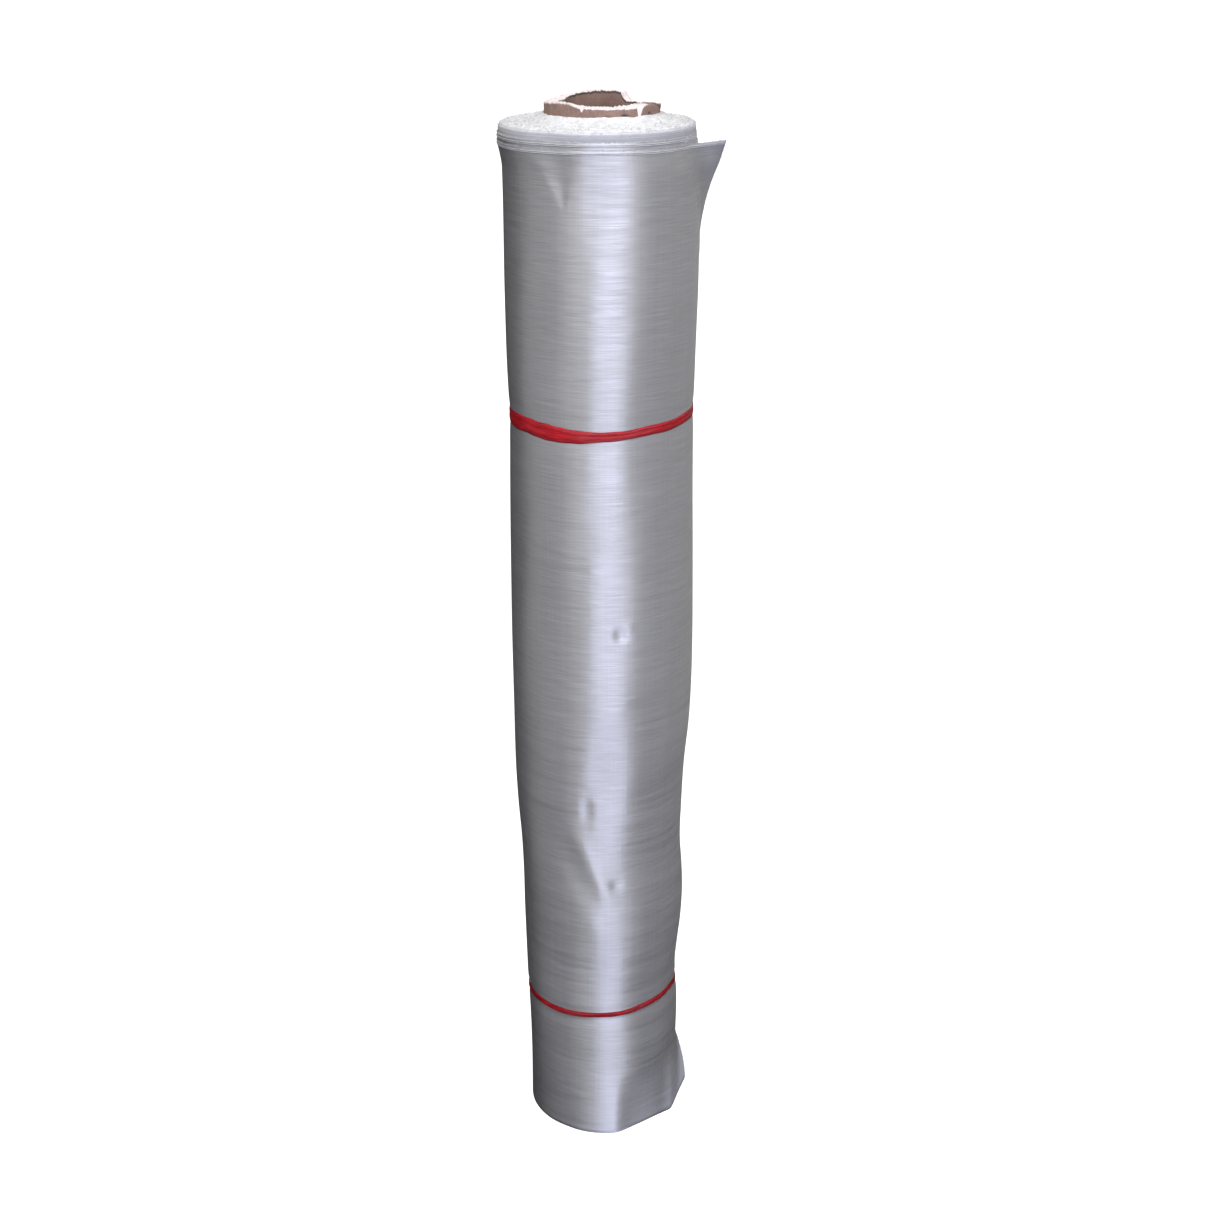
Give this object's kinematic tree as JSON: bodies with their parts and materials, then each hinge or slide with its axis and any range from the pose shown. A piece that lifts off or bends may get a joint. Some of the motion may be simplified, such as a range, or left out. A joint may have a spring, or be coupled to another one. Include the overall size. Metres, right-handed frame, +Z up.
{
  "type": "roll of fiberglass cloth",
  "caption": "Roll of woven glass cloth on a cardboard core, standing on its end and tied with red bands, its free end peeling off at the corners.",
  "frame": {"origin": "on the floor under the middle of the footprint's bounding box, free corners of the cloth included", "axes": "+Z up along the roll's axis; the front, with the cloth's free top corner on its right, looks towards -Y"},
  "size_m": [0.2006, 0.1768, 1.021],
  "materials": {
    "cardboard": "matt spiral-wound cardboard with a torn rim",
    "glass_cloth": "satin woven glass yarn",
    "red_ribbon": "glossy polypropylene ribbon"
  },
  "bodies": {
    "root": {"core_tube": "cardboard", "cloth_roll": "glass_cloth", "upper_band": "red_ribbon", "lower_band": "red_ribbon"}
  },
  "joints": []
}
